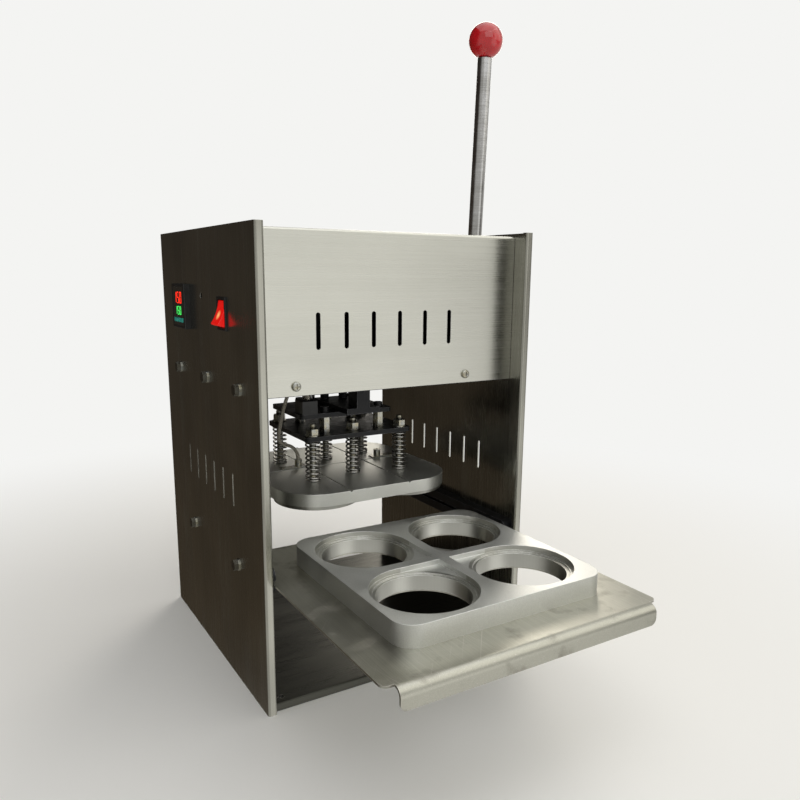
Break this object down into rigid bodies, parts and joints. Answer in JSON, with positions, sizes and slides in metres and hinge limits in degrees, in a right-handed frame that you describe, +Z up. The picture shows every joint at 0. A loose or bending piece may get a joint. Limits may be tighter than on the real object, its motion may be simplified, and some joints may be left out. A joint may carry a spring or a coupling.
{
  "type": "cup sealing machine",
  "caption": "Hand-lever cup sealer: a steel cabinet with a sliding drawer that carries a cup mould under a sprung heating plate pressed down by a cranked lever.",
  "frame": {"origin": "middle of the cabinet's footprint, on the bench", "axes": "+Z up, -Y towards the person using it (the drawer comes out along -Y), +X to their right, where the lever stands"},
  "size_m": [0.3505, 0.5368, 0.693],
  "materials": {
    "stainless": "satin stainless sheet",
    "brushed_stainless": "long-grain brushed stainless sheet",
    "black_steel": "black-oxide steel",
    "bronze": "sintered bronze",
    "zinc_steel": "zinc-plated steel",
    "black_plastic": "moulded, fine grain",
    "smoked_window": "smoked window with display",
    "teal_keys": "moulded keys",
    "red_rocker": "translucent, lit",
    "mill_steel": "mill-finish steel sheet, worn",
    "cast_aluminium": "bead-blasted plate with machined recesses",
    "machined_aluminium": "turned face",
    "polished_steel": "ground and polished",
    "spring_steel": "drawn spring wire",
    "red_knob": "glossy phenolic ball",
    "lead_sleeve": "woven glass sleeve"
  },
  "bodies": {
    "cabinet": {"left_panel": "stainless", "right_panel": "stainless", "base_pan": "stainless", "base_stiffener": "stainless", "front_cover": "brushed_stainless", "rear_cover": "brushed_stainless", "cross_frame": "black_steel", "guide_bushes": "bronze", "bearing_block_left": "black_steel", "bearing_block_right": "black_steel", "shaft_bushes": "bronze", "panel_bush": "bronze", "block_screws": "zinc_steel", "left_rail": "black_steel", "right_rail": "black_steel", "panel_bolts": "zinc_steel", "bolt_washers": "zinc_steel", "frame_nuts": "zinc_steel", "cover_screws": "zinc_steel", "cable_gland": "black_plastic", "controller_housing": "black_plastic", "controller_face": "smoked_window", "controller_clip": "black_plastic", "switch_housing": "black_plastic"},
    "drawer": {"drawer_plate": "mill_steel", "mould_plate": "cast_aluminium", "mould_screws": "zinc_steel"},
    "press_head": {"press_plate": "black_steel", "standoffs": "zinc_steel", "upper_plate": "black_steel", "yoke": "black_steel", "head_screws": "black_steel", "guide_rods": "polished_steel", "rod_collars": "zinc_steel", "return_springs": "spring_steel", "terminal_block": "black_plastic", "supply_lead": "lead_sleeve"},
    "heater": {"heating_plate": "cast_aluminium", "sealing_discs": "machined_aluminium", "disc_screws": "zinc_steel", "cartridge_heaters": "stainless", "thermocouple": "stainless", "lead_terminals": "zinc_steel", "spring_studs": "zinc_steel", "stud_nuts": "zinc_steel", "press_springs": "spring_steel", "heater_lead": "lead_sleeve"},
    "lever": {"lever_shaft": "polished_steel", "shaft_collar": "zinc_steel", "crank_arm_left": "black_steel", "crank_arm_right": "black_steel", "crank_pin": "polished_steel", "lever_hub": "polished_steel", "lever_rod": "polished_steel", "lever_knob": "red_knob"},
    "rocker": {"rocker": "red_rocker"},
    "key_1": {"key_1": "teal_keys"},
    "key_2": {"key_2": "teal_keys"},
    "key_3": {"key_3": "teal_keys"},
    "key_4": {"key_4": "teal_keys"}
  },
  "joints": [
    {"name": "drawer_slide", "type": "slide", "parent": "cabinet", "child": "drawer", "axis": [0, 1, 0], "range_m": [0, 0.217]},
    {"name": "lever_turn", "type": "hinge", "parent": "cabinet", "child": "lever", "pos_m": [0.004, -0.0275, 0.39], "axis": [1, 0, 0], "range_deg": [0, 70]},
    {"name": "press_slide", "type": "slide", "parent": "cabinet", "child": "press_head", "axis": [0, 0, -1], "range_m": [0, 0.026], "stiffness_N_per_m": 2000, "springref_m": -0.03, "deforming": ["return_springs"]},
    {"name": "heater_float", "type": "slide", "parent": "press_head", "child": "heater", "axis": [0, 0, 1], "range_m": [0, 0.004], "stiffness_N_per_m": 12000, "springref_m": -0.004, "deforming": ["press_springs"]},
    {"name": "rocker_turn", "type": "hinge", "parent": "cabinet", "child": "rocker", "pos_m": [-0.1505, -0.065, 0.378], "axis": [0, -1, 0], "range_deg": [0, 18]},
    {"name": "key_1_press", "type": "slide", "parent": "cabinet", "child": "key_1", "axis": [1, 0, 0], "range_m": [0, 0.0008], "stiffness_N_per_m": 300, "springref_m": -0.001},
    {"name": "key_2_press", "type": "slide", "parent": "cabinet", "child": "key_2", "axis": [1, 0, 0], "range_m": [0, 0.0008], "stiffness_N_per_m": 300, "springref_m": -0.001},
    {"name": "key_3_press", "type": "slide", "parent": "cabinet", "child": "key_3", "axis": [1, 0, 0], "range_m": [0, 0.0008], "stiffness_N_per_m": 300, "springref_m": -0.001},
    {"name": "key_4_press", "type": "slide", "parent": "cabinet", "child": "key_4", "axis": [1, 0, 0], "range_m": [0, 0.0008], "stiffness_N_per_m": 300, "springref_m": -0.001}
  ],
  "couplings": [
    {"joint": "press_slide", "follows": "lever_turn", "m_per_rad": 0.021281}
  ]
}
